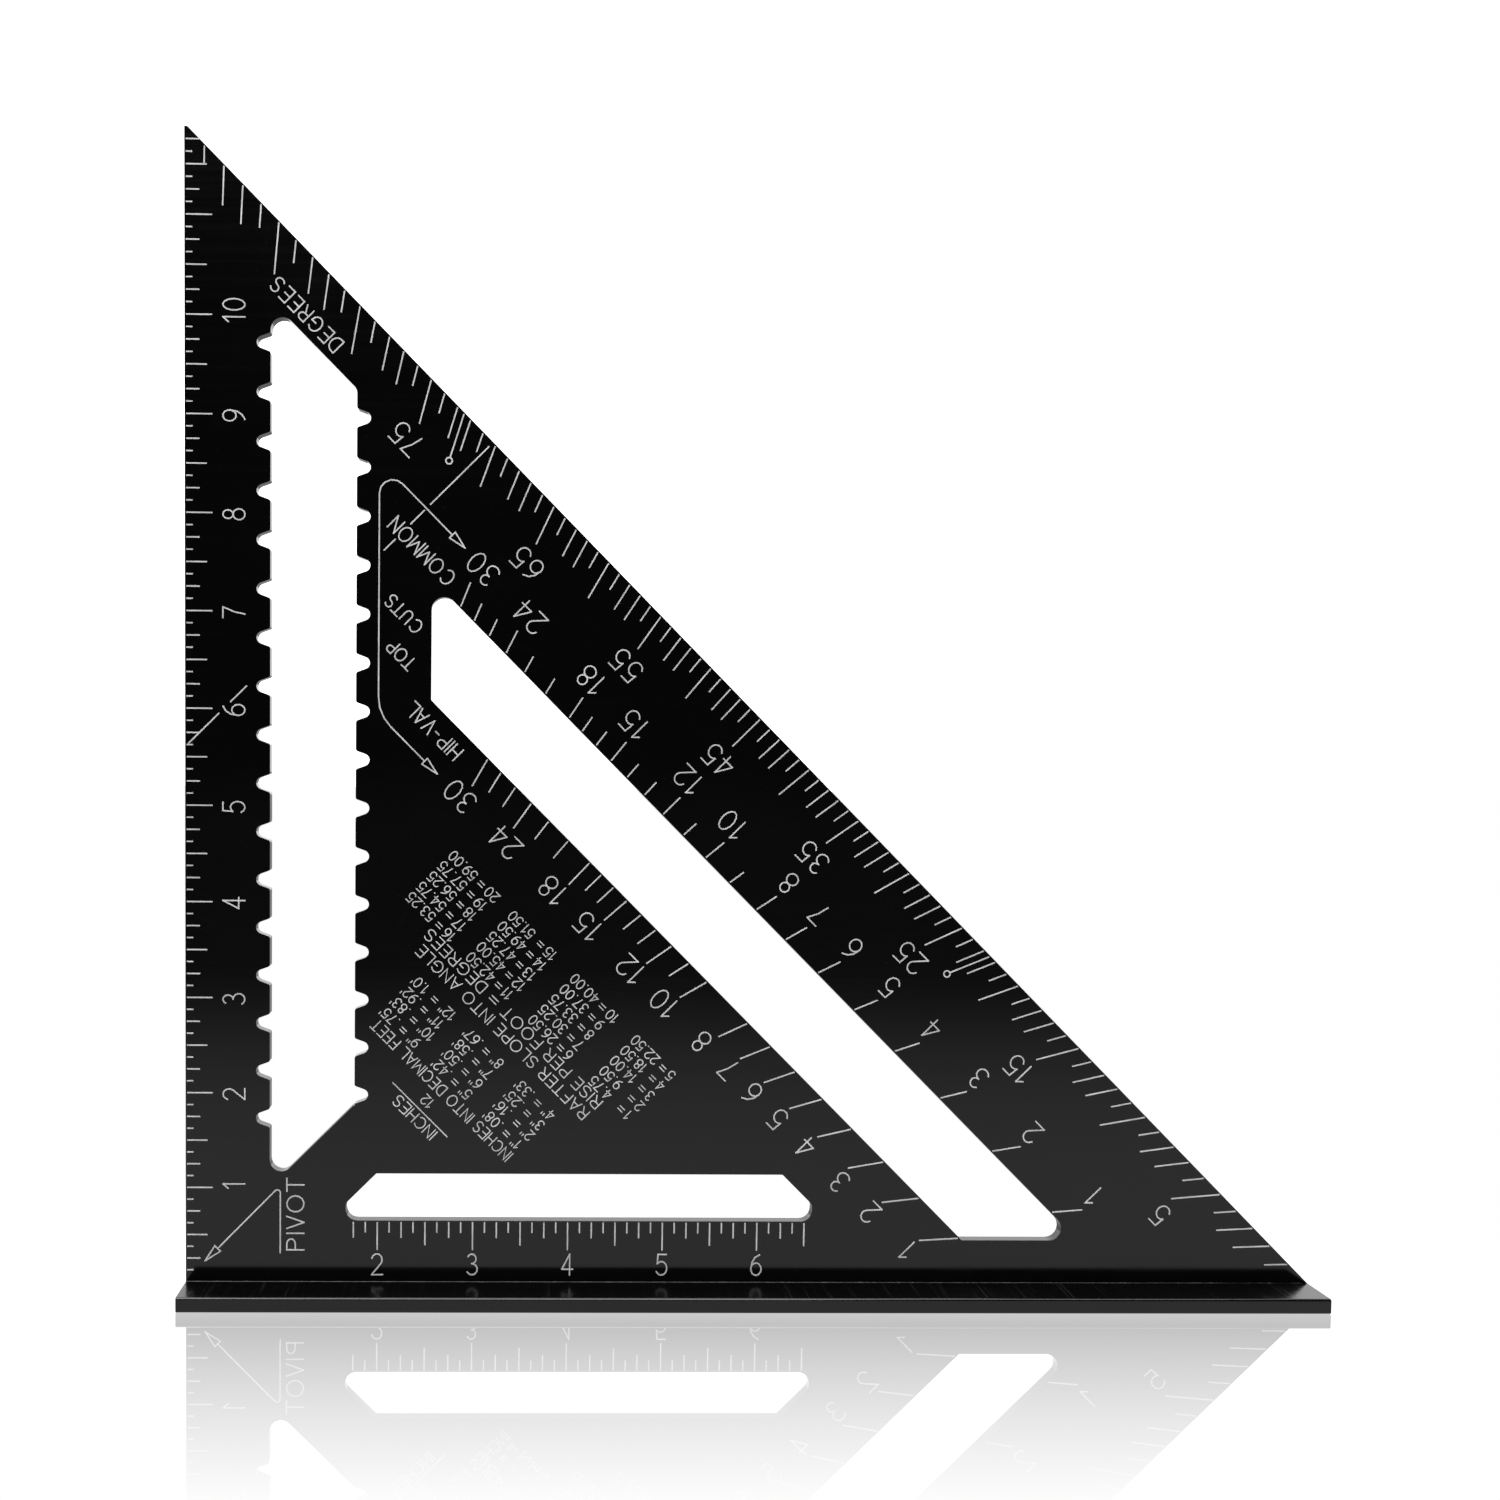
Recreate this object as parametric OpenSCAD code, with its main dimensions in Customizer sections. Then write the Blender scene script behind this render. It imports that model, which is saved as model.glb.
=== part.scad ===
// Speed square: a one-piece aluminium rafter square, standing on its fence.
// X runs along the fence, the marked face looks towards -Y, and +Z is up.
// The origin is at the middle of the fence's underside.
// Flat shapes are drawn in blade coordinates: u from the pivot edge, v up from the ledge.

/* [Blade] */
// Length of each of the two square legs
leg = 302.5; // [300:0.5:306]
// Thickness of the blade plate
blade_t = 3; // [2:0.25:5]
// Width of the flat left on the upper tip
tip_flat = 0.8; // [0.4:0.1:2]

/* [Fence] */
// Thickness of the fence flange
fence_t = 4; // [3:0.25:8]
// Width of the fence across both ledges
fence_w = 25; // [18:0.5:40]
// Rounding of the long fence edges
fence_edge_r = 0.6; // [0.2:0.1:1.2]
// Fillet between each ledge and the blade
root_r = 0.1; // [0.1:0.05:1]

/* [Tall scribing slot] */
// Distance from the graduated edge to the slot
tall_slot_u = 22.2; // [21.5:0.1:23]
// Width of the slot between its notched sides
tall_slot_w = 22.4; // [22:0.1:23]
// Depth of a pencil notch
notch_depth = 3.6; // [3:0.1:4.2]
// Radius at the bottom of a notch
notch_tip_r = 1.6; // [1.4:0.05:2]
// Radius of the lips at the mouth of a notch
notch_lip_r = 0.7; // [0.3:0.1:0.8]
// Angle by which each side of a notch opens
notch_flare = 20; // [6:1:22]
// Distance of the notches below the quarter-inch marks
notch_drop = 0.4; // [0:0.1:0.8]

/* [Low slot] */
// Height of the lower side of the slot above the ledge
low_slot_v = 16.6; // [16:0.1:17.5]
// Height of the slot
low_slot_h = 12.7; // [11:0.1:13.5]
// Start of the slot along the ledge
low_slot_u = 42.4; // [41.5:0.1:43]
// Length of the slot
low_slot_w = 124.8; // [123:0.1:126]

/* [Slanted slot] */
// Distance from the long slanted edge to the slot, square to it
slant_slot_d = 36.4; // [35.5:0.1:36.5]
// Width of the slot, square to it
slant_slot_w = 22.3; // [21.5:0.1:23]
// Start of the slot along the ledge
slant_slot_u = 64.3; // [63.8:0.1:64.8]
// Height of the lower end of the slot above the ledge
slant_slot_v = 11.6; // [11:0.1:12.5]

/* [Marks] */
// Width of an etched line
line_w = 0.36; // [0.3:0.01:0.45]
// Height of the marks above the blade face
mark_t = 0.08; // [0.05:0.01:0.15]
// Gap between a mark and the edge it starts from
mark_gap = 0.4; // [0.3:0.05:0.6]
// Height of the scale numerals
numeral_h = 6.1; // [5.5:0.1:6.3]

/* [Hidden] */

inch = 25.4;
eighth = inch / 8;
blade_colour = "#161616";
mark_colour = "#b8b8b8";

// Directions of lettering: up the graduated edge, and along the slanted edge
turn_up = 90;
turn_slant = 135;

// Sums u + v along the slanted lines, from their square distances
root2 = sqrt(2);
tall_top_sum = leg - 15.8 * root2;
slant_top_sum = leg - slant_slot_d * root2;
slant_low_sum = slant_top_sum - slant_slot_w * root2;

// The tall slot's lower end rises as v = u + tall_foot
tall_foot = 3.2;
tall_slot_u2 = tall_slot_u + tall_slot_w;
low_slot_v2 = low_slot_v + low_slot_h;
low_slot_u2 = low_slot_u + low_slot_w;
low_slot_side = 4.6;
low_slot_chamfer = low_slot_h - low_slot_side;

// First notch on each side of the tall slot and the number of notches
left_notch_start = 1.75 * inch - notch_drop;
left_notches = 17;
right_notch_start = 2 * inch - notch_drop;
right_notches = 15;
notch_pitch = inch / 2;

arc_step = 15;
pen_step = 28;
dot_r = 0.6 * line_w;

// ---- outlines ----

function unit(v) = v / norm(v);
function left_of(v) = [-v[1], v[0]];
function polar(r, a) = [r * cos(a), r * sin(a)];

// Points along an elliptical arc with radii r = [ru, rv]
function arc(c, r, from, to, step = pen_step) =
    let (n = ceil(abs(to - from) / step))
    [for (i = [0:n]) let (a = from + (to - from) * i / n)
        [c[0] + r[0] * cos(a), c[1] + r[1] * sin(a)]];

// Fillet of radius r at the corner b of the outline a, b, c
function fillet(a, b, c, r) =
    let (
        ua = unit(a - b),
        uc = unit(c - b),
        half = acos(ua * uc) / 2,
        centre = b + unit(ua + uc) * r / sin(half),
        p = b + ua * r / tan(half) - centre,
        q = b + uc * r / tan(half) - centre,
        from = atan2(p[1], p[0]),
        turn = (atan2(q[1], q[0]) - from + 540) % 360 - 180
    )
    arc(centre, [r, r], from, from + turn, arc_step);

// Outline with each corner rounded by the radius of the same index
function rounded(points, radii) =
    let (n = len(points))
    [for (i = [0:n - 1])
        each fillet(points[(i + n - 1) % n], points[i], points[(i + 1) % n], radii[i])];

// ---- lettering: single-stroke characters in a box one unit high ----

function path(points) = [false, points];
function ring(c, r) = [true, [for (a = [0:pen_step:359 - pen_step / 2])
    [c[0] + r[0] * cos(a), c[1] + r[1] * sin(a)]]];

digit_w = 0.58;

function six() = [ring([0.28, 0.3], [0.28, 0.3]), path(arc([0.56, 0.33], [0.56, 0.67], 180, 100))];
function half_turn(stroke) = [stroke[0], [for (p = stroke[1]) [0.56 - p[0], 1 - p[1]]]];

function digit(ch) =
    ch == "0" ? [ring([0.29, 0.5], [0.29, 0.5])] :
    ch == "1" ? [path([[0, 0.76], [0.24, 1]]), path([[0.24, 1], [0.24, 0]])] :
    ch == "2" ? [path(concat(arc([0.28, 0.72], [0.28, 0.28], 165, -40), [[0, 0]])),
        path([[0, 0], [0.58, 0]])] :
    ch == "3" ? [path(arc([0.26, 0.77], [0.23, 0.23], 150, -90)),
        path(arc([0.27, 0.27], [0.29, 0.27], 90, -150))] :
    ch == "4" ? [path([[0.42, 1], [0, 0.28]]), path([[0, 0.28], [0.58, 0.28]]),
        path([[0.42, 1], [0.42, 0]])] :
    ch == "5" ? [path([[0.52, 1], [0.08, 1]]), path([[0.08, 1], [0.04, 0.56]]),
        path(arc([0.26, 0.33], [0.3, 0.33], 138, -150))] :
    ch == "6" ? six() :
    ch == "7" ? [path([[0, 1], [0.56, 1]]), path([[0.56, 1], [0.32, 0.5], [0.2, 0]])] :
    ch == "8" ? [ring([0.28, 0.77], [0.22, 0.23]), ring([0.28, 0.27], [0.28, 0.27])] :
    [for (s = six()) half_turn(s)];

function bowl(top) = path(concat([[0, top]], arc([0.28, top - 0.25], [0.26, 0.25], 90, -90),
    [[0, top - 0.5]]));

function letter(ch) =
    ch == "A" ? [path([[0, 0], [0.32, 1]]), path([[0.32, 1], [0.64, 0]]),
        path([[0.11, 0.34], [0.53, 0.34]])] :
    ch == "C" ? [path(arc([0.38, 0.5], [0.38, 0.5], 45, 315))] :
    ch == "D" ? [path([[0, 0], [0, 1]]),
        path(concat([[0, 1]], arc([0.22, 0.5], [0.4, 0.5], 90, -90), [[0, 0]]))] :
    ch == "E" ? [path([[0, 0], [0, 1]]), path([[0, 1], [0.52, 1]]), path([[0, 0.5], [0.44, 0.5]]),
        path([[0, 0], [0.52, 0]])] :
    ch == "G" ? [path(arc([0.38, 0.5], [0.38, 0.5], 45, 330)), path([[0.42, 0.46], [0.74, 0.46]]),
        path([[0.74, 0.46], [0.7, 0.24]])] :
    ch == "H" ? [path([[0, 0], [0, 1]]), path([[0.58, 0], [0.58, 1]]), path([[0, 0.5], [0.58, 0.5]])] :
    ch == "I" ? [path([[0, 0], [0, 1]])] :
    ch == "L" ? [path([[0, 1], [0, 0]]), path([[0, 0], [0.52, 0]])] :
    ch == "M" ? [path([[0, 0], [0, 1]]), path([[0, 1], [0.36, 0.2]]), path([[0.36, 0.2], [0.72, 1]]),
        path([[0.72, 1], [0.72, 0]])] :
    ch == "N" ? [path([[0, 0], [0, 1]]), path([[0, 1], [0.6, 0]]), path([[0.6, 0], [0.6, 1]])] :
    ch == "O" ? [ring([0.4, 0.5], [0.4, 0.5])] :
    ch == "P" ? [path([[0, 0], [0, 1]]), bowl(1)] :
    ch == "R" ? [path([[0, 0], [0, 1]]), bowl(1), path([[0.26, 0.5], [0.54, 0]])] :
    ch == "S" ? [path(concat(arc([0.28, 0.75], [0.26, 0.25], 30, 270),
        arc([0.28, 0.25], [0.28, 0.25], 60, -150)))] :
    ch == "T" ? [path([[0, 1], [0.64, 1]]), path([[0.32, 1], [0.32, 0]])] :
    ch == "U" ? [path(concat([[0, 1]], arc([0.29, 0.3], [0.29, 0.3], 180, 360), [[0.58, 1]]))] :
    ch == "V" ? [path([[0, 1], [0.3, 0]]), path([[0.3, 0], [0.6, 1]])] :
    [path([[0, 0.45], [0.3, 0.45]])];

function is_digit(ch) = ch >= "0" && ch <= "9";
function strokes_of(ch) = is_digit(ch) ? digit(ch) : letter(ch);
function width_of(ch) =
    ch == "1" ? 0.34 :
    is_digit(ch) ? digit_w :
    ch == "I" ? 0 :
    ch == "-" ? 0.3 :
    ch == "M" ? 0.72 :
    ch == "O" || ch == "C" || ch == "G" ? 0.78 :
    0.58;

letter_gap = 0.24;
function start_of(s, i) = i == 0 ? 0 : start_of(s, i - 1) + width_of(s[i - 1]) + letter_gap;
function text_w(s) = start_of(s, len(s) - 1) + width_of(s[len(s) - 1]);

// ---- pen strokes ----

function heading(p, i, closed) =
    let (
        n = len(p),
        a = closed ? p[(i + n - 1) % n] : p[max(i - 1, 0)],
        b = closed ? p[(i + 1) % n] : p[min(i + 1, n - 1)]
    )
    unit(b - a);

function shifted(p, d, closed) = [for (i = [0:len(p) - 1]) p[i] + d * left_of(heading(p, i, closed))];

// Round dot at the end of a stroke that runs in direction dir
function dot_end(at, dir) =
    let (
        a = atan2(dir[1], dir[0]),
        span = 180 - asin(line_w / 2 / dot_r)
    )
    [for (i = [2:-1:-2]) at + polar(dot_r, a + span * i / 2)];

function inner(list) = [for (i = [1:1:len(list) - 2]) list[i]];
function reversed(list) = [for (i = [len(list) - 1:-1:0]) list[i]];

// Outline of an open stroke with a round dot at each end
function stroke_outline(p) =
    let (last = len(p) - 1)
    concat(
        inner(shifted(p, line_w / 2, false)),
        dot_end(p[last], heading(p, last, false)),
        reversed(inner(shifted(p, -line_w / 2, false))),
        dot_end(p[0], -heading(p, 0, false))
    );

module pen(stroke) {
    closed = stroke[0];
    p = stroke[1];
    n = len(p);
    if (closed)
        polygon(
            concat(shifted(p, line_w / 2, true), shifted(p, -line_w / 2, true)),
            [[for (i = [0:n - 1]) i], [for (i = [n:2 * n - 1]) i]]
        );
    else
        polygon(stroke_outline(p));
}

// Straight mark with a square start at the edge a and a round dot at b
module tick(a, b) {
    dir = unit(b - a);
    side = left_of(dir) * line_w / 2;
    polygon(concat([a - side, a + side], dot_end(b, dir)));
}

// Lettering centred on a point; narrow < 1 condenses it
module label(s, at, turn, h, narrow = 1) {
    k = h - line_w;
    w = text_w(s) * k * narrow;
    translate(at)
        rotate(turn)
            translate([-w / 2, -k / 2])
                for (i = [0:len(s) - 1], stroke = strokes_of(s[i]))
                    pen([stroke[0], [for (p = stroke[1]) [(start_of(s, i) + p[0]) * k * narrow, p[1] * k]]]);
}

// Hollow arrowhead with its tip at a point, pointing along an angle
arrow_l = 4.7;
arrow_half = 1.05;
module arrowhead(tip, angle) {
    dir = polar(1, angle);
    back = tip - arrow_l * dir;
    a = back + arrow_half * left_of(dir);
    b = back - arrow_half * left_of(dir);
    pen(path([tip, a]));
    pen(path([a, b]));
    pen(path([b, tip]));
}

// Places a flat drawing as a layer on the front face of the blade
module on_face(t = mark_t) {
    translate([-leg / 2, -blade_t / 2, fence_t])
        rotate([90, 0, 0])
            linear_extrude(t)
                children();
}

// ---- structure ----

// Pencil notch cut away from the slot side at (u, v); out is -1 or 1
module notch(u, v, out) {
    side = [sin(notch_flare), cos(notch_flare)];
    tip = [notch_depth - notch_tip_r, 0];
    touch = tip + notch_tip_r * side;
    lip = [notch_lip_r,
        touch[1] + (notch_lip_r - (notch_lip_r - touch[0]) * side[0]) / side[1]];
    upper = concat(
        [[-1, lip[1]]],
        arc(lip, [notch_lip_r, notch_lip_r], 180, 270 - notch_flare, arc_step),
        arc(tip, [notch_tip_r, notch_tip_r], 90 - notch_flare, 0, arc_step)
    );
    lower = [for (p = reversed(upper)) [p[0], -p[1]]];
    translate([u, v])
        scale([out, 1])
            polygon(concat(upper, [for (i = [1:len(lower) - 1]) lower[i]]));
}

module tall_slot() {
    polygon(rounded(
        [
            [tall_slot_u, tall_slot_u + tall_foot],
            [tall_slot_u2, tall_slot_u2 + tall_foot],
            [tall_slot_u2, tall_top_sum - tall_slot_u2],
            [tall_slot_u, tall_top_sum - tall_slot_u]
        ],
        [3.1, 1, 2.5, 3.1]
    ));
    for (i = [0:left_notches - 1])
        notch(tall_slot_u, left_notch_start + i * notch_pitch, -1);
    for (i = [0:right_notches - 1])
        notch(tall_slot_u2, right_notch_start + i * notch_pitch, 1);
}

module low_slot() {
    c = low_slot_chamfer;
    polygon(rounded(
        [
            [low_slot_u, low_slot_v],
            [low_slot_u2, low_slot_v],
            [low_slot_u2, low_slot_v2 - c],
            [low_slot_u2 - c, low_slot_v2],
            [low_slot_u + c, low_slot_v2],
            [low_slot_u, low_slot_v2 - c]
        ],
        [3, 3, 2, 0.5, 0.5, 2]
    ));
}

module slant_slot() {
    polygon(rounded(
        [
            [slant_low_sum - slant_slot_v, slant_slot_v],
            [slant_top_sum - slant_slot_v, slant_slot_v],
            [slant_slot_u, slant_top_sum - slant_slot_u],
            [slant_slot_u, slant_low_sum - slant_slot_u]
        ],
        [0.5, 3.3, 3.3, 0.5]
    ));
}

module blade() {
    color(blade_colour)
        translate([-leg / 2, blade_t / 2, fence_t])
            rotate([90, 0, 0])
                linear_extrude(blade_t)
                    difference() {
                        polygon([
                            [0, root_r],
                            [leg - root_r, root_r],
                            [tip_flat, leg - tip_flat],
                            [0, leg - tip_flat]
                        ]);
                        tall_slot();
                        low_slot();
                        slant_slot();
                    }
}

// Section of the fence: a slab with round edges and a filleted rib below the blade
module fence_section() {
    r = fence_edge_r;
    root_u = blade_t / 2 + root_r;
    half = concat(
        arc([fence_w / 2 - r, r], [r, r], -90, 0, arc_step),
        arc([fence_w / 2 - r, fence_t - r], [r, r], 0, 90, arc_step),
        arc([root_u, fence_t + root_r], [root_r, root_r], 270, 180, arc_step)
    );
    polygon(concat(half, [for (p = reversed(half)) [-p[0], p[1]]]));
}

// The rib ends in line with the blade's slanted edge
module fence() {
    color(blade_colour)
        difference() {
            translate([-leg / 2, 0, 0])
                rotate([90, 0, 90])
                    linear_extrude(leg)
                        fence_section();
            translate([leg / 2, 0, fence_t])
                rotate([0, -45, 0])
                    translate([0, -fence_w / 2, 0])
                        cube([fence_w, fence_w, fence_w]);
        }
}

// ---- inch rules ----

// Length of a mark by its number of eighths: inch, half, quarter and eighth marks
function rule_mark(i, lengths) =
    i % 8 == 0 ? lengths[0] :
    i % 4 == 0 ? lengths[1] :
    i % 2 == 0 ? lengths[2] :
    lengths[3];

edge_marks = [7, 5.6, 3.7, 1.9];
edge_mark_count = 94;
edge_numeral_u = 12.75;
slot_marks = [7.8, 6.5, 4.5, 3.1];
slot_mark_first = 14;
slot_mark_last = 52;
slot_numeral_v = 4.75;
slot_numeral_h = 6;
narrow = 0.88;

module edge_tick(i) {
    tick([mark_gap, i * eighth], [rule_mark(i, edge_marks), i * eighth]);
}

module edge_rule_marks() {
    color(mark_colour)
        on_face()
            for (i = [1:edge_mark_count])
                edge_tick(i);
}

module edge_rule_numerals() {
    color(mark_colour)
        on_face() {
            label("1", [edge_numeral_u, inch + 0.6], turn_up, numeral_h, narrow);
            for (n = [2:9])
                label(str(n), [edge_numeral_u, n * inch - 0.3], turn_up, numeral_h, narrow);
            label("10", [edge_numeral_u, 10 * inch + 1.2], turn_up, numeral_h, narrow);
        }
}

module slot_rule_marks() {
    color(mark_colour)
        on_face()
            for (i = [slot_mark_first:slot_mark_last])
                tick(
                    [i * eighth, low_slot_v - mark_gap],
                    [i * eighth, low_slot_v - rule_mark(i, slot_marks)]
                );
}

module slot_rule_numerals() {
    color(mark_colour)
        on_face()
            for (n = [2:6])
                label(str(n), [n * inch, slot_numeral_v], 0, slot_numeral_h, narrow);
}

// ---- angle scales ----

// Point at the angle a from the pivot, where u + v = sum
function on_ray(a, sum) =
    let (u = sum / (1 + tan(a)))
    [u, sum - u];

// Point at the square depth d inside the slanted line, moved along it towards the tip
function beside(p, along) = p + along * [-1, 1] / root2;

// Mark along the ray at angle a, from the line u + v = sum to the depth d
module ray_tick(a, sum, d) {
    gap = sign(d) * mark_gap;
    tick(on_ray(a, sum - gap * root2), on_ray(a, sum - d * root2));
}

degree_depths = [10.4, 4.8, 7.6, 7.6, 4.8];
steep_last_depth = 3.6;
ringed_degrees = [22.5, 72.5];
ringed_depth = 10.9;
ring_r = 0.85;
degree_numeral_depth = 15.7;
numbered_degrees = [5:10:75];

// How far a numeral sits along the edge from its ray
function degree_shift(a) =
    a == 75 ? 2.7 :
    a == 35 ? -1.1 :
    a == 25 ? -1.6 :
    a == 15 ? -1.4 :
    a == 5 ? -5.4 :
    0;

module degree_marks() {
    color(mark_colour)
        on_face() {
            for (a = [1:88])
                ray_tick(a, leg, degree_depths[a % 5]);
            ray_tick(89, leg, steep_last_depth);
            for (a = ringed_degrees) {
                end = on_ray(a, leg - ringed_depth * root2);
                ray_tick(a, leg, ringed_depth);
                pen(ring(end - unit(end) * ring_r, [ring_r, ring_r]));
            }
        }
}

module degree_numerals() {
    color(mark_colour)
        on_face()
            for (a = numbered_degrees)
                label(
                    str(a),
                    beside(on_ray(a, leg - degree_numeral_depth * root2), degree_shift(a)),
                    turn_slant,
                    numeral_h
                );
}

// How far a numeral sits from its mark, towards the tip; one that starts with a slim 1 is further
function common_shift(n) = n >= 10 && n <= 19 ? 1.9 : 0.3;
function hip_shift(n) =
    n == 24 ? -1.2 :
    n == 8 ? 2.4 :
    n == 3 ? -1 :
    common_shift(n);
numbered_slopes = [1, 2, 3, 4, 5, 6, 7, 8, 10, 12, 15, 18, 24, 30];
common_unit = 12;
common_plain = [9, 11, 13, 14, 16, 17, 20, 22, 26, 28];
common_depth = 6.5;
common_plain_depth = 4.7;
common_numeral_depth = 11.4;
hip_unit = 17;
hip_plain = [11, 13, 14, 16, 17, 20, 22, 26, 28];
hip_depth = 8.1;
hip_plain_depth = 6.1;
hip_numeral_depth = 12.4;

// Scale of slopes n in unit, read along the line u + v = sum
module slope_marks(slopes, unit_run, sum, depth) {
    for (n = slopes)
        ray_tick(atan2(n, unit_run), sum, depth);
}

module slope_numerals(unit_run, sum, depth, numeral_depth) {
    inward = (numeral_depth - depth) / root2;
    for (n = numbered_slopes) {
        end = on_ray(atan2(n, unit_run), sum - depth * root2);
        along = unit_run == hip_unit ? hip_shift(n) : common_shift(n);
        label(str(n), beside(end - [inward, inward], along), turn_slant, numeral_h);
    }
}

module common_rafter_marks() {
    color(mark_colour)
        on_face() {
            slope_marks(numbered_slopes, common_unit, slant_top_sum, -common_depth);
            slope_marks(common_plain, common_unit, slant_top_sum, -common_plain_depth);
        }
}

module common_rafter_numerals() {
    color(mark_colour)
        on_face()
            slope_numerals(common_unit, slant_top_sum, -common_depth, -common_numeral_depth);
}

module hip_valley_marks() {
    color(mark_colour)
        on_face() {
            slope_marks(numbered_slopes, hip_unit, slant_low_sum, hip_depth);
            slope_marks(hip_plain, hip_unit, slant_low_sum, hip_plain_depth);
        }
}

module hip_valley_numerals() {
    color(mark_colour)
        on_face()
            slope_numerals(hip_unit, slant_low_sum, hip_depth, hip_numeral_depth);
}

// ---- lines, arrows and captions ----

// The square line meets the slanted edge at a right angle; each pair is a dash in u
square_rise = 142.3;
square_dashes = [[78.9, 63.8], [62.2, 58.7], [54.6, 51.8], [16, 11.9], [8.8, 1]];
square_crossed_tick = 46;

module square_line() {
    color(mark_colour)
        difference() {
            on_face()
                for (dash = square_dashes)
                    pen(path([for (u = dash) [u, u + square_rise]]));
            on_face(1)
                edge_tick(square_crossed_tick);
        }
}

// Line from beside the caption, over a tight bend and down to the pivot corner
module pivot_arrow() {
    tip = [5.1, 5.6];
    stem_u = 25.05;
    bend = [stem_u - 0.8, 24];
    color(mark_colour)
        on_face() {
            pen(path(concat(
                [[stem_u, 7.8]],
                arc(bend, [0.8, 0.8], 0, 135),
                [tip + [arrow_l, arrow_l] / root2]
            )));
            arrowhead(tip, 225);
        }
}

// Loop that ties the common and hip-valley scales to the top cuts caption
module top_cuts_arrow() {
    loop_u = 50.5;
    upper_r = 3.5;
    lower_r = 11;
    upper_tip = [72.9, 194.9];
    lower_tip = [66, 135.8];
    upper_sum = upper_tip[0] + upper_tip[1];
    lower_sum = lower_tip[0] + lower_tip[1];
    upper_v = upper_sum - upper_r * root2 - (loop_u + upper_r);
    lower_v = lower_sum + lower_r * root2 - (loop_u + lower_r);
    back = [-arrow_l, arrow_l] / root2;
    color(mark_colour)
        on_face() {
            pen(path(concat(
                [upper_tip + back],
                arc([loop_u + upper_r, upper_v], [upper_r, upper_r], 45, 180),
                arc([loop_u + lower_r, lower_v], [lower_r, lower_r], 180, 225, arc_step),
                [lower_tip + back]
            )));
            arrowhead(upper_tip, -45);
            arrowhead(lower_tip, -45);
        }
}

module degrees_caption() {
    color(mark_colour)
        on_face()
            label("DEGREES", [31.4, 254.4], turn_slant, 4.3, 1.05);
}

module pivot_caption() {
    color(mark_colour)
        on_face()
            label("PIVOT", [29.05, 18.1], turn_up, 4.9, 1.2);
}

module common_caption() {
    color(mark_colour)
        on_face()
            label("COMMON", [61.7, 193.9], turn_slant, 4.4, 0.96);
}

module hip_valley_caption() {
    color(mark_colour)
        on_face()
            label("HIP-VAL", [65, 147.2], turn_slant, 4.3);
}

module top_cuts_caption() {
    color(mark_colour)
        on_face() {
            label("TOP", [56.3, 166.9], turn_slant, 3.8);
            label("CUTS", [57, 177.6], turn_slant, 3.9);
        }
}

blade();
fence();
edge_rule_marks();
edge_rule_numerals();
slot_rule_marks();
slot_rule_numerals();
degree_marks();
degree_numerals();
common_rafter_marks();
common_rafter_numerals();
hip_valley_marks();
hip_valley_numerals();
square_line();
pivot_arrow();
top_cuts_arrow();
degrees_caption();
pivot_caption();
common_caption();
hip_valley_caption();
top_cuts_caption();
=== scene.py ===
import math

import bmesh
import bpy
from mathutils import Euler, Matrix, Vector


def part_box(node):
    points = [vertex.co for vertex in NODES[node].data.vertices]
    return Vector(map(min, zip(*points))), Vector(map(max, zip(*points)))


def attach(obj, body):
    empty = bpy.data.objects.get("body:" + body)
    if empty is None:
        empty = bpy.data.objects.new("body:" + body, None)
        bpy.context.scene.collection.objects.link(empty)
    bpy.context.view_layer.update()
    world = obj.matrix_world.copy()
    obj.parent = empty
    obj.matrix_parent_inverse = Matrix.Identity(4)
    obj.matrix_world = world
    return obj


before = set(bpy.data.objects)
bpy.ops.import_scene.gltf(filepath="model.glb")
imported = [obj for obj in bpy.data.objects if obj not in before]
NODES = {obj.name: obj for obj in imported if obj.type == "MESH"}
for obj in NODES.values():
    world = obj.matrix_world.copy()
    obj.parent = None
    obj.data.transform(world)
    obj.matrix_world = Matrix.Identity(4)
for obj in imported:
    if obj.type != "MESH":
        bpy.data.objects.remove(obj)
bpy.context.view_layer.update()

scene = bpy.context.scene
scene.view_settings.view_transform = "Standard"
scene.view_settings.look = "None"

MM = 0.001
BLADE_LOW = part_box("blade")[0]
FENCE_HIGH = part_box("fence")[1]
FACE_Y = BLADE_LOW.y
MARK_T = FACE_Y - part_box("edge_rule_marks")[0].y
CORNER_X = BLADE_LOW.x
ROOT_FILLET = 0.1 * MM
LEDGE_Z = BLADE_LOW.z - ROOT_FILLET
EDGE_RADIUS = 0.2 * MM
ROOT2 = math.sqrt(2)

# The floor mirrors the square at its fence, and less and less away from it
FLOOR_HALF = 6.0
MIRROR = 0.5
MIRROR_REACH = 92 * MM
CONTACT_LOSS = 0.08
CONTACT_REACH = 8 * MM

# Brightness of the studio as the square and the floor mirror it
SWEEP = 1.75
SIDE_WALLS = 0.5
DARK_STUDIO = 0.012


# ---- camera: in front of the left half, a little above the middle ----

def add_camera():
    data = bpy.data.cameras.new("camera")
    data.lens = 32.153
    data.sensor_width = 36.0
    data.shift_x = 0.1333
    data.shift_y = 0.0433
    data.clip_start = 0.01
    data.clip_end = 50.0
    camera = bpy.data.objects.new("camera", data)
    camera.location = Vector((-62.97, -354.82, 144.16)) * MM
    camera.rotation_euler = Euler([math.radians(a) for a in (87.587, -0.572, -1.197)])
    scene.collection.objects.link(camera)
    scene.camera = camera


# ---- node helpers ----

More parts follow.
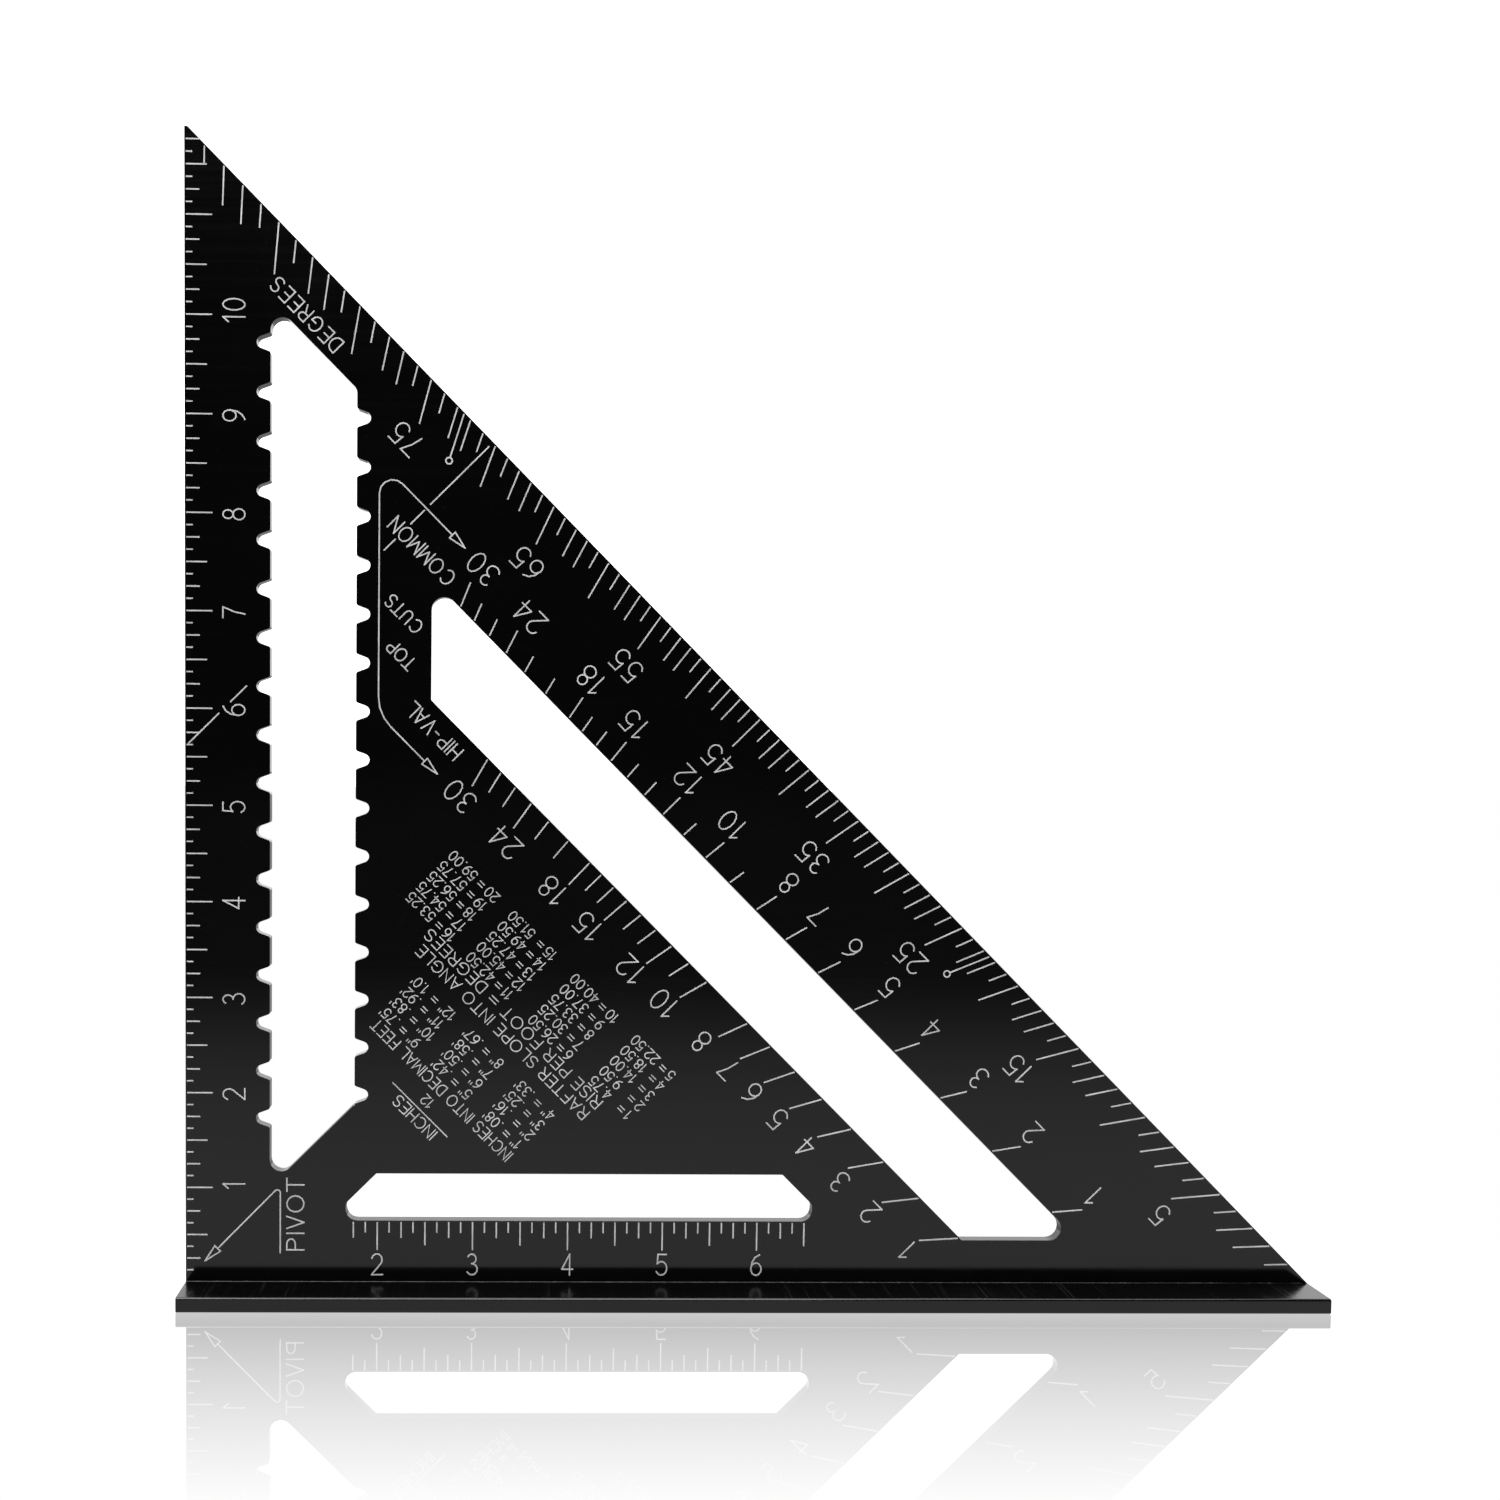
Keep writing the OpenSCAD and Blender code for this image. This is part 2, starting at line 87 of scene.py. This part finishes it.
class Tree:
    """Adds nodes to a material or world and links them in one call each."""

    def __init__(self, owner):
        owner.use_nodes = True
        self.nodes = owner.node_tree.nodes
        self.links = owner.node_tree.links
        self.nodes.clear()

    def add(self, kind, inputs=(), **settings):
        node = self.nodes.new("ShaderNode" + kind)
        for name, value in settings.items():
            setattr(node, name, value)
        for name, value in dict(inputs).items():
            self.put(node.inputs[name], value)
        return node

    def put(self, socket, value):
        if isinstance(value, bpy.types.NodeSocket):
            self.links.new(value, socket)
        else:
            socket.default_value = value

    def maths(self, operation, *values, clamp=False):
        node = self.add("Math", operation=operation, use_clamp=clamp)
        for socket, value in zip(node.inputs, values):
            self.put(socket, value)
        return node.outputs[0]

    def ramp(self, value, low, high, to_low=0.0, to_high=1.0, smooth=True):
        node = self.add("MapRange", interpolation_type="SMOOTHSTEP" if smooth else "LINEAR")
        for name, v in (("Value", value), ("From Min", low), ("From Max", high),
                        ("To Min", to_low), ("To Max", to_high)):
            self.put(node.inputs[name], v)
        return node.outputs["Result"]

    def noise(self, vector, scale, detail=2.0, roughness=0.5):
        return self.add("TexNoise", {"Vector": vector, "Scale": scale, "Detail": detail,
                                     "Roughness": roughness}).outputs["Fac"]

    def mix(self, factor, a, b):
        node = self.add("Mix", data_type="RGBA")
        self.put(node.inputs[0], factor)
        self.put(node.inputs[6], a)
        self.put(node.inputs[7], b)
        return node.outputs[2]

    def stretched(self, vector, scale):
        return self.add("Mapping", {"Vector": vector, "Scale": scale}).outputs["Vector"]

    def streaks(self, vector, turn, size):
        """Mask of thin streaks of a length, depth and width in metres, turned in the X-Z plane."""
        place = self.add("Mapping", {"Vector": vector, "Rotation": (0, turn, 0), "Scale": size},
                         vector_type="TEXTURE").outputs["Vector"]
        return self.ramp(self.noise(place, 1.0, 2.0, 0.6), 0.6, 0.74)

    def bump(self, height, distance, strength, normal=None):
        node = self.add("Bump", {"Height": height, "Distance": distance, "Strength": strength})
        if normal:
            self.put(node.inputs["Normal"], normal)
        return node.outputs["Normal"]


def grey(value, blue=1.0):
    return (value, value, value * blue, 1.0)


# ---- materials ----

def anodised():
    """Glossy black anodised extrusion, its sharp edges slightly round and rubbed."""
    material = bpy.data.materials.new("black_anodised")
    t = Tree(material)
    place = t.add("TexCoord").outputs["Object"]
    rounded = t.add("Bevel", {"Radius": EDGE_RADIUS}, samples=6).outputs["Normal"]
    flat = t.add("NewGeometry").outputs["Normal"]
    facing = t.add("VectorMath", {0: rounded, 1: flat}, operation="DOT_PRODUCT").outputs["Value"]
    rim = t.ramp(facing, 0.86, 0.99, 1.0, 0.0)
    die_lines = t.noise(t.stretched(place, (6.0, 900.0, 900.0)), 1.0, 3.0, 0.6)
    clouds = t.noise(place, 38.0, 4.0, 0.55)
    grain = t.noise(place, 5200.0, 2.0, 0.6)
    smudge = t.ramp(t.noise(place, 14.0, 5.0, 0.65), 0.5, 0.75)
    dust = t.ramp(t.noise(place, 2600.0, 1.0, 0.4), 0.79, 0.84)
    rubbed = t.ramp(t.noise(place, 420.0, 5.0, 0.7), 0.45, 0.7, 0.0, 0.3)
    bare = t.maths("MULTIPLY", rubbed, rim)
    side = t.add("SeparateXYZ", {"Vector": flat})
    scuffs = t.maths("MAXIMUM", t.streaks(place, 0.5, (0.024, 0.05, 0.0009)),
                     t.streaks(place, -1.1, (0.03, 0.05, 0.0007)))
    handled = t.maths("MULTIPLY", t.ramp(t.noise(place, 22.0, 3.0), 0.42, 0.6, 0.1, 1.0),
                      t.ramp(side.outputs["Y"], -0.5, 0.5, 0.05, 1.0))
    scuffed = t.maths("MULTIPLY", scuffs, handled)
    body = t.mix(clouds, grey(0.0008, 1.1), grey(0.0022, 1.1))
    body = t.mix(scuffed, body, grey(0.024))
    dusty = t.mix(t.maths("MULTIPLY", dust, 0.12), body, grey(0.3))
    colour = t.mix(bare, dusty, grey(0.42))
    rough = t.ramp(die_lines, 0.25, 0.75, 0.085, 0.15, smooth=False)
    rough = t.maths("ADD", rough, t.maths("MULTIPLY", smudge, 0.05))
    rough = t.maths("ADD", rough, t.maths("MULTIPLY", bare, 0.2))
    rough = t.maths("ADD", rough, t.ramp(side.outputs["Z"], 0.6, 0.9, 0.0, 0.1))
    rough = t.maths("ADD", rough, t.maths("MULTIPLY", scuffed, 0.1))
    height = t.maths("ADD", t.maths("MULTIPLY", die_lines, 0.7), t.maths("MULTIPLY", grain, 0.3))
    shader = t.add("BsdfPrincipled", {
        "Base Color": colour, "Roughness": rough, "Metallic": t.maths("MULTIPLY", bare, 0.8),
        "IOR": 1.5, "Normal": t.bump(height, 0.000004, 0.6, rounded)})
    t.add("OutputMaterial", {"Surface": shader.outputs[0]})
    return material


def etched():
    """Bare metal that the etching leaves: light grey, matt and finely pitted."""
    material = bpy.data.materials.new("etched_mark")
    t = Tree(material)
    place = t.add("TexCoord").outputs["Object"]
    patches = t.noise(place, 160.0, 4.0, 0.6)
    pits = t.noise(place, 6500.0, 2.0, 0.6)
    tone = t.ramp(patches, 0.3, 0.7, 0.0, 1.0)
    colour = t.mix(tone, grey(0.5), grey(0.72))
    colour = t.mix(t.ramp(pits, 0.56, 0.72), colour, grey(0.44))
    rough = t.ramp(pits, 0.3, 0.7, 0.42, 0.62, smooth=False)
    shader = t.add("BsdfPrincipled", {
        "Base Color": colour, "Roughness": rough, "IOR": 1.5,
        "Normal": t.bump(pits, 0.00001, 0.4)})
    t.add("OutputMaterial", {"Surface": shader.outputs[0]})
    return material


def floor_material():
    """Glossy white sheet, evenly bright to the camera, with a clear mirror image near the square; in
    reflections and bounce light it is a painted glow, brighter near the square and darker toward the
    front.
    """
    material = bpy.data.materials.new("floor_white")
    t = Tree(material)
    place = t.add("TexCoord").outputs["Object"]
    split = t.add("SeparateXYZ", {"Vector": place})
    outside = [t.maths("MAXIMUM", t.maths("SUBTRACT", t.maths("ABSOLUTE", split.outputs[k]), h), 0.0)
               for k, h in (("X", FENCE_HIGH.x), ("Y", FENCE_HIGH.y))]
    beyond = t.maths("SQRT", t.maths("ADD", *[t.maths("MULTIPLY", o, o) for o in outside]))
    contact = t.ramp(beyond, 0.0, CONTACT_REACH, CONTACT_LOSS, 0.0)
    fading = t.ramp(beyond, 0.0, MIRROR_REACH, MIRROR, 0.0, smooth=False)
    mirror = t.maths("SUBTRACT", fading, contact)
    in_front = t.maths("MULTIPLY", split.outputs["Y"], -1.0)
    # Painted light falloff: for all but camera rays the floor glows, 0.6 behind and near the square
    # and dimming to 0.05 by 560 mm in front. This is painted shade that the square mirrors and is
    # lit by.
    painted_glow_falloff = t.ramp(in_front, 80 * MM, 560 * MM, 0.6, 0.05)
    ground = t.add("Emission", {"Color": (1, 1, 1, 1), "Strength": 1.0})
    gloss = t.add("BsdfGlossy", {"Color": grey(1.0), "Roughness": 0.0})
    seen = t.add("MixShader", {0: mirror, 1: ground.outputs[0], 2: gloss.outputs[0]})
    glow = t.add("Emission", {"Color": (1, 1, 1, 1), "Strength": painted_glow_falloff})
    is_camera = t.add("LightPath").outputs["Is Camera Ray"]
    both = t.add("MixShader", {0: is_camera, 1: glow.outputs[0], 2: seen.outputs[0]})
    t.add("OutputMaterial", {"Surface": both.outputs[0]})
    return material


# ---- stage ----

def add_floor():
    signs = ((-1, -1), (1, -1), (1, 1), (-1, 1))
    mesh = bpy.data.meshes.new("floor")
    mesh.from_pydata([(x * FLOOR_HALF, y * FLOOR_HALF, 0) for x, y in signs], [], [(0, 1, 2, 3)])
    floor = bpy.data.objects.new("floor", mesh)
    mesh.materials.append(floor_material())
    scene.collection.objects.link(floor)


def add_world():
    """White sweep behind the square, dim walls at its sides, dark studio in front and above."""
    world = bpy.data.worlds.new("studio")
    scene.world = world
    t = Tree(world)
    place = t.add("TexCoord").outputs["Generated"]
    split = t.add("SeparateXYZ", {"Vector": place})
    behind = t.ramp(split.outputs["Y"], 0.1, 0.5)
    low = t.ramp(split.outputs["Z"], 0.55, 0.8, 1.0, 0.12)
    sweep = t.maths("MULTIPLY", behind, low)
    aside = t.ramp(t.maths("ABSOLUTE", split.outputs["X"]), 0.6, 0.95, 0.0, SIDE_WALLS)
    around = t.maths("ADD", t.maths("MULTIPLY", sweep, SWEEP),
                     t.maths("ADD", aside, DARK_STUDIO))
    is_camera = t.add("LightPath").outputs["Is Camera Ray"]
    strength = t.maths("MAXIMUM", is_camera, around)
    t.add("OutputWorld", {"Surface": t.add("Background", {
        "Color": (1, 1, 1, 1), "Strength": strength}).outputs[0]})


def add_light(name, place, target, size, power):
    data = bpy.data.lights.new(name, "AREA")
    data.shape = "RECTANGLE"
    data.size, data.size_y = size
    data.energy = power
    lamp = bpy.data.objects.new(name, data)
    lamp.location = place
    lamp.rotation_euler = (Vector(target) - Vector(place)).to_track_quat("-Z", "Y").to_euler()
    scene.collection.objects.link(lamp)


def add_lights():
    middle = (0.0, 0.0, 0.12)
    add_light("top_softbox", (0.0, 0.15, 1.3), middle, (1.6, 1.2), 26.0)
    add_light("front_softbox", (-0.2, -0.75, 1.15), middle, (1.2, 0.7), 18.0)


# ---- conversion tables: single-stroke lettering along the slanted edge ----

def arc(cu, cv, ru, rv, start, end, step=20.0):
    """Points on an elliptical arc between two angles in degrees."""
    count = max(2, math.ceil(abs(end - start) / step))
    turns = [math.radians(start + (end - start) * i / count) for i in range(count + 1)]
    return [(cu + ru * math.cos(a), cv + rv * math.sin(a)) for a in turns]


def bowl(top):
    """Round half of P and R, from the stem at a height and back."""
    return [(0, top)] + arc(0.28, top - 0.25, 0.26, 0.25, 90, -90) + [(0, top - 0.5)]


STEM = [(0, 0), (0, 1)]
SIX = [arc(0.28, 0.3, 0.28, 0.3, 0, 360), arc(0.56, 0.33, 0.56, 0.67, 170, 100)]
NINE = [[(0.56 - x, 1 - y) for x, y in stroke] for stroke in SIX]
GLYPHS = {
    " ": (0.2, []),
    "0": (0.58, [arc(0.29, 0.5, 0.29, 0.5, 0, 360)]),
    "1": (0.3, [[(0, 0.74), (0.24, 1), (0.24, 0)]]),
    "2": (0.58, [arc(0.28, 0.72, 0.28, 0.28, 165, -40) + [(0, 0), (0.58, 0)]]),
    "3": (0.56, [arc(0.26, 0.77, 0.23, 0.23, 150, -90), arc(0.27, 0.27, 0.29, 0.27, 90, -150)]),
    "4": (0.58, [[(0.42, 0), (0.42, 1), (0, 0.28), (0.58, 0.28)]]),
    "5": (0.56, [[(0.52, 1), (0.08, 1), (0.04, 0.56)] + arc(0.26, 0.33, 0.3, 0.33, 138, -150)]),
    "6": (0.56, SIX),
    "7": (0.56, [[(0, 1), (0.56, 1), (0.32, 0.5), (0.2, 0)]]),
    "8": (0.56, [arc(0.28, 0.77, 0.22, 0.23, 0, 360), arc(0.28, 0.27, 0.28, 0.27, 0, 360)]),
    "9": (0.56, NINE),
    "=": (0.6, [[(0, 0.35), (0.6, 0.35)], [(0, 0.68), (0.6, 0.68)]]),
    ".": (0.12, [[(0.03, 0.02), (0.09, 0.02)]]),
    "'": (0.0, [[(0, 1.02), (0, 0.78)]]),
    '"': (0.26, [[(0, 1.02), (0, 0.78)], [(0.26, 1.02), (0.26, 0.78)]]),
    "A": (0.66, [[(0, 0), (0.33, 1), (0.66, 0)], [(0.12, 0.34), (0.54, 0.34)]]),
    "C": (0.68, [arc(0.38, 0.5, 0.38, 0.5, 45, 315)]),
    "D": (0.62, [STEM, [(0, 1)] + arc(0.22, 0.5, 0.4, 0.5, 90, -90) + [(0, 0)]]),
    "E": (0.5, [[(0.5, 1), (0, 1), (0, 0), (0.5, 0)], [(0, 0.5), (0.44, 0.5)]]),
    "F": (0.5, [[(0.5, 1), (0, 1), (0, 0)], [(0, 0.5), (0.42, 0.5)]]),
    "G": (0.74, [arc(0.38, 0.5, 0.38, 0.5, 45, 330) + [(0.74, 0.46), (0.42, 0.46)]]),
    "H": (0.58, [STEM, [(0.58, 0), (0.58, 1)], [(0, 0.5), (0.58, 0.5)]]),
    "I": (0.0, [STEM]),
    "L": (0.5, [[(0, 1), (0, 0), (0.5, 0)]]),
    "M": (0.72, [[(0, 0), (0, 1), (0.36, 0.2), (0.72, 1), (0.72, 0)]]),
    "N": (0.6, [[(0, 0), (0, 1), (0.6, 0), (0.6, 1)]]),
    "O": (0.78, [arc(0.39, 0.5, 0.39, 0.5, 0, 360)]),
    "P": (0.54, [STEM, bowl(1)]),
    "R": (0.56, [STEM, bowl(1), [(0.26, 0.5), (0.56, 0)]]),
    "S": (0.56, [arc(0.28, 0.75, 0.26, 0.25, 30, 270) + arc(0.28, 0.25, 0.28, 0.25, 90, -150)[1:]]),
    "T": (0.6, [[(0, 1), (0.6, 1)], [(0.3, 1), (0.3, 0)]]),
}
GAP = 0.22


def text_width(text):
    return sum(GLYPHS[c][0] + GAP for c in text) - GAP


def text_strokes(text, along, depth, height, align=0.0, fit=None):
    """Strokes of one line in slanted coordinates; align 0 starts there, 1 ends there."""
    width = fit / text_width(text) if fit else height
    pen = along - align * text_width(text) * width
    strokes = []
    for c in text:
        advance, shapes = GLYPHS[c]
        for shape in shapes:
            strokes.append([(pen + x * width, depth - y * height) for x, y in shape])
        pen += (advance + GAP) * width
    return strokes


ENTRY_H = 2.7
HEADING_H = 3.05
ROW_STEP = 3.9
LETTER_W = 0.29
LETTER_INSET = 0.02 * MM
FEET_AS_SHOWN = {2: ".16'", 12: "1.0'"}
ANGLES_AS_SHOWN = {9: 37.0, 10: 40.0, 15: 51.5}
SLOPE_BLOCKS = (-53.4, -30.3, -6.8, 15.6)


def feet_table():
    """Inches as decimal feet, in three blocks of four rows, with its formula and heading."""
    strokes = text_strokes("INCHES", -18.5, 75.8, HEADING_H, fit=14.2)
    strokes.append([(-21.2, 76.7), (-0.7, 76.7)])
    strokes += text_strokes("12", -10.7, 81.0, ENTRY_H, align=0.5)
    strokes += text_strokes("INCHES INTO DECIMAL FEET", -36.8, 86.0, HEADING_H, fit=51.0)
    for n in range(1, 13):
        block, row = divmod(n - 1, 4)
        along = -36.6 + 19.5 * block
        depth = 89.9 + ROW_STEP * row
        feet = FEET_AS_SHOWN.get(n, f"{n / 12:.2f}'".lstrip("0"))
        strokes += text_strokes(f'{n}"', along + 2.3, depth, ENTRY_H, align=1.0)
        strokes += text_strokes("=", along + 4.9, depth, ENTRY_H, align=0.5)
        strokes += text_strokes(feet, along + 12.6, depth, ENTRY_H, align=1.0)
    return strokes


def slope_table():
    """Rise per foot as an angle to a quarter degree, in four blocks of five rows."""
    strokes = text_strokes("RAFTER SLOPE INTO ANGLE", -43.2, 108.4, HEADING_H, fit=63.0)
    strokes += text_strokes("RISE PER FOOT = DEGREES", -43.6, 112.9, HEADING_H, fit=65.0)
    for n in range(1, 21):
        block, row = divmod(n - 1, 5)
        along = SLOPE_BLOCKS[block]
        depth = 116.3 + ROW_STEP * row
        angle = ANGLES_AS_SHOWN.get(n, round(math.degrees(math.atan(n / 12)) * 4) / 4)
        strokes += text_strokes(str(n), along + 2.8, depth, ENTRY_H, align=1.0)
        strokes += text_strokes("=", along + 4.9, depth, ENTRY_H, align=0.5)
        strokes += text_strokes(f"{angle:.2f}", along + 16.2, depth, ENTRY_H, align=1.0)
    return strokes


# ---- lettering as thin layers on the marked face ----

def shifted_side(points, distance, closed):
    """The line moved sideways, with its corners kept sharp."""
    last = len(points) - 1
    moved = []
    for i, p in enumerate(points):
        before = points[i - 1] if closed or i else p
        after = points[(i + 1) % (last + 1)] if closed or i < last else p
        ways = [(b - a).normalized() for a, b in ((before, p), (p, after)) if (b - a).length > 0]
        mean = sum(ways, Vector((0, 0))).normalized()
        stretch = min(1 / max(mean.dot(ways[0]), 0.1), 2.0)
        moved.append(p + Vector((-mean.y, mean.x)) * distance * stretch)
    return moved


def cap(end, way, radius):
    """Half circle round the end of a line that runs in direction way."""
    turns = [math.radians(90 - 45 * i) for i in range(5)]
    side = Vector((-way.y, way.x))
    return [end + (way * math.cos(a) + side * math.sin(a)) * radius for a in turns]


def add_stroke(bm, points, width, front, back):
    """One pen stroke in blade coordinates, as a closed layer between two depths in y."""
    half = width / 2
    points = [Vector(p) for p in points]
    closed = (points[0] - points[-1]).length < 1e-6
    if closed:
        points.pop()
        loops = [shifted_side(points, half, True), shifted_side(points, -half, True)]
    else:
        left = shifted_side(points, half, False)
        right = shifted_side(points, -half, False)
        end_way = (points[-1] - points[-2]).normalized()
        start_way = (points[0] - points[1]).normalized()
        loops = [left[1:-1] + cap(points[-1], end_way, half)
                 + right[-2:0:-1] + cap(points[0], start_way, half)]
    layers = []
    for y in (front, back):
        layers.append([[bm.verts.new((CORNER_X + p.x * MM, y, LEDGE_Z + p.y * MM)) for p in loop]
                       for loop in loops])
    for k, loop in enumerate(loops):
        for i in range(len(loop)):
            j = (i + 1) % len(loop)
            bm.faces.new([layers[0][k][i], layers[0][k][j], layers[1][k][j], layers[1][k][i]])
    for layer in layers:
        if closed:
            for i in range(len(points)):
                j = (i + 1) % len(points)
                bm.faces.new([layer[0][i], layer[0][j], layer[1][j], layer[1][i]])
        else:
            bm.faces.new(layer[0])


def add_lettering(name, strokes, material):
    """One piece from strokes in slanted coordinates; each stroke is a hair prouder than the last."""
    bm = bmesh.new()
    for k, stroke in enumerate(strokes):
        points = [((depth - along) / ROOT2, (depth + along) / ROOT2) for along, depth in stroke]
        front = FACE_Y - MARK_T * (0.7 + 0.02 * (k % 8))
        add_stroke(bm, points, LETTER_W, front, FACE_Y + LETTER_INSET)
    bmesh.ops.recalc_face_normals(bm, faces=bm.faces)
    mesh = bpy.data.meshes.new(name)
    bm.to_mesh(mesh)
    bm.free()
    mesh.materials.append(material)
    piece = bpy.data.objects.new(name, mesh)
    scene.collection.objects.link(piece)
    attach(piece, "root")


# ---- the square ----

def dress_square():
    black = anodised()
    marks = etched()
    for name, obj in NODES.items():
        obj.data.materials.clear()
        obj.data.materials.append(black if name in ("blade", "fence") else marks)
    add_lettering("feet_table", feet_table(), marks)
    add_lettering("slope_table", slope_table(), marks)


add_camera()
add_floor()
add_world()
add_lights()
dress_square()
